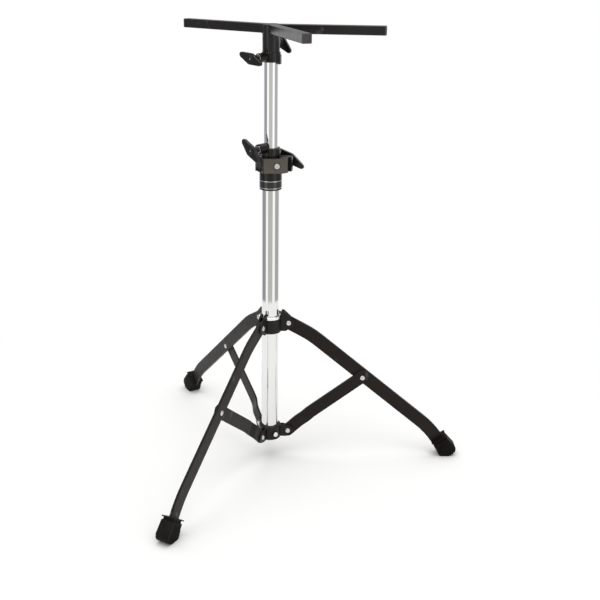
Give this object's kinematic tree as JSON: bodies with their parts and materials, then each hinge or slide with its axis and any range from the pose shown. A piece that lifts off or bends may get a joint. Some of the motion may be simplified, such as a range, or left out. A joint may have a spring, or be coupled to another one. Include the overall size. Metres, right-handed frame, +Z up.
{
  "type": "practice pad stand",
  "caption": "Folding tripod stand that holds a practice pad on three level arms: chromed telescoping mast, braced strap legs with rubber feet, and wing-bolt clamps.",
  "frame": {"origin": "on the floor, under the centre of the bounding box", "axes": "+Z up along the mast, +X along the leg that points to the picture's right, -Y towards the viewer"},
  "size_m": [0.5615, 0.6484, 0.835],
  "materials": {
    "black_strap": "charcoal powder coat with a fine texture",
    "black_collar": "satin black paint",
    "satin_arm": "satin black paint",
    "grey_casting": "matte dark grey casting",
    "tube_chrome": "polished chrome plate",
    "bright_hardware": "chrome plated hardware",
    "rivet_steel": "zinc plated steel",
    "black_moulding": "black moulded nylon, half matte",
    "label": "glossy black band, plain",
    "wing_plastic": "black moulded plastic",
    "cap_plastic": "black plastic cap",
    "nylon": "natural nylon",
    "boot_rubber": "black rubber, ribbed",
    "plug_rubber": "black rubber"
  },
  "bodies": {
    "base": {"base_tube": "tube_chrome", "base_tube_plug": "plug_rubber", "lower_collar": "black_collar", "lower_collar_screw": "bright_hardware", "brace_pivot_rivet_right": "rivet_steel", "brace_pivot_rivet_back": "rivet_steel", "brace_pivot_rivet_front": "rivet_steel", "joint_housing": "black_moulding", "label_band": "label", "guide_bush": "nylon", "clamp_front_half": "grey_casting", "clamp_rear_half": "black_collar", "clamp_hinge_pin": "rivet_steel", "clamp_key_bolt": "bright_hardware", "height_washer": "bright_hardware"},
    "brace_right": {"brace_right": "black_strap"},
    "brace_back": {"brace_back": "black_strap"},
    "brace_front": {"brace_front": "black_strap"},
    "leg_right": {"leg_right": "black_strap", "boot_right": "boot_rubber", "knee_rivet_right": "rivet_steel"},
    "leg_back": {"leg_back": "black_strap", "boot_back": "boot_rubber", "knee_rivet_back": "rivet_steel"},
    "leg_front": {"leg_front": "black_strap", "boot_front": "boot_rubber", "knee_rivet_front": "rivet_steel"},
    "leg_collar": {"leg_collar": "black_collar", "collar_trim_ring": "bright_hardware", "leg_lock_washer": "bright_hardware", "leg_pivot_rivet_right": "rivet_steel", "leg_pivot_rivet_back": "rivet_steel", "leg_pivot_rivet_front": "rivet_steel"},
    "leg_lock_wing_bolt": {"leg_lock_wing_bolt": "wing_plastic"},
    "height_wing_bolt": {"height_wing_bolt": "wing_plastic"},
    "upper_tube": {"upper_tube": "tube_chrome", "upper_tube_glide": "nylon"},
    "lower_stop": {"lower_stop_lock": "black_moulding", "lower_stop_washer": "bright_hardware"},
    "lower_stop_wing_bolt": {"lower_stop_wing_bolt": "wing_plastic"},
    "upper_stop": {"upper_stop_lock": "black_moulding", "upper_stop_washer": "bright_hardware"},
    "upper_stop_wing_bolt": {"upper_stop_wing_bolt": "wing_plastic"},
    "top_frame": {"top_sleeve": "satin_arm", "sleeve_cap": "cap_plastic", "sleeve_washer": "bright_hardware", "arm_left": "satin_arm", "arm_right": "satin_arm", "arm_front": "satin_arm", "arm_cap_left": "cap_plastic", "arm_cap_right": "cap_plastic", "arm_cap_front": "cap_plastic"},
    "sleeve_wing_bolt": {"sleeve_wing_bolt": "wing_plastic"}
  },
  "joints": [
    {"name": "leg_fold", "type": "hinge", "parent": "base", "child": "brace_right", "pos_m": [-0.05125, 0, 0.0525], "axis": [0, -1, 0], "range_deg": [0, 46]},
    {"name": "leg_right_knee", "type": "hinge", "parent": "brace_right", "child": "leg_right", "pos_m": [0.0925, 0, 0.16575], "axis": [0, 1, 0], "range_deg": [0, 92]},
    {"name": "brace_back_fold", "type": "hinge", "parent": "base", "child": "brace_back", "pos_m": [-0.10375, 0.03031, 0.0525], "axis": [0.866, 0.5, 0], "range_deg": [0, 46]},
    {"name": "leg_back_knee", "type": "hinge", "parent": "brace_back", "child": "leg_back", "pos_m": [-0.17563, 0.1548, 0.16575], "axis": [-0.866, -0.5, 0], "range_deg": [0, 92]},
    {"name": "brace_front_fold", "type": "hinge", "parent": "base", "child": "brace_front", "pos_m": [-0.10375, -0.03031, 0.0525], "axis": [-0.866, 0.5, 0], "range_deg": [0, 46]},
    {"name": "leg_front_knee", "type": "hinge", "parent": "brace_front", "child": "leg_front", "pos_m": [-0.17563, -0.1548, 0.16575], "axis": [0.866, -0.5, 0], "range_deg": [0, 92]},
    {"name": "leg_collar_rise", "type": "hinge", "parent": "leg_right", "child": "leg_collar", "pos_m": [-0.05125, 0, 0.279], "axis": [0, -1, 0], "range_deg": [0, 46]},
    {"name": "leg_lock_turn", "type": "hinge", "parent": "leg_collar", "child": "leg_lock_wing_bolt", "pos_m": [-0.08625, 0, 0.27575], "axis": [0.3746, 0.9272, 0], "range_deg": [-180, 180]},
    {"name": "height_bolt_turn", "type": "hinge", "parent": "base", "child": "height_wing_bolt", "pos_m": [-0.05843, -0.00745, 0.592], "axis": [0.2588, 0.9659, 0], "range_deg": [-180, 180]},
    {"name": "height_slide", "type": "slide", "parent": "base", "child": "upper_tube", "axis": [0, 0, 1], "range_m": [0, 0.22]},
    {"name": "lower_stop_slide", "type": "slide", "parent": "upper_tube", "child": "lower_stop", "axis": [0, 0, 1], "range_m": [0, 0.1]},
    {"name": "lower_stop_bolt_turn", "type": "hinge", "parent": "lower_stop", "child": "lower_stop_wing_bolt", "pos_m": [-0.08625, 0, 0.6175], "axis": [-0.6947, -0.7193, 0], "range_deg": [-180, 180]},
    {"name": "upper_stop_slide", "type": "slide", "parent": "upper_tube", "child": "upper_stop", "axis": [0, 0, 1], "range_m": [-0.1, 0]},
    {"name": "upper_stop_bolt_turn", "type": "hinge", "parent": "upper_stop", "child": "upper_stop_wing_bolt", "pos_m": [-0.08625, 0, 0.7784], "axis": [-0.6947, -0.7193, 0], "range_deg": [-180, 180]},
    {"name": "top_swivel", "type": "hinge", "parent": "upper_tube", "child": "top_frame", "pos_m": [-0.08625, 0, 0.7867], "axis": [0, 0, 1], "range_deg": [-129, 91]},
    {"name": "sleeve_bolt_turn", "type": "hinge", "parent": "top_frame", "child": "sleeve_wing_bolt", "pos_m": [-0.08625, 0, 0.801], "axis": [0.4067, 0.9135, 0], "range_deg": [-180, 180]}
  ],
  "couplings": [
    {"joint": "leg_right_knee", "follows": "leg_fold", "ratio": 2},
    {"joint": "brace_back_fold", "follows": "leg_fold", "ratio": 1},
    {"joint": "leg_back_knee", "follows": "leg_fold", "ratio": 2},
    {"joint": "brace_front_fold", "follows": "leg_fold", "ratio": 1},
    {"joint": "leg_front_knee", "follows": "leg_fold", "ratio": 2},
    {"joint": "leg_collar_rise", "follows": "leg_fold", "ratio": 1}
  ]
}
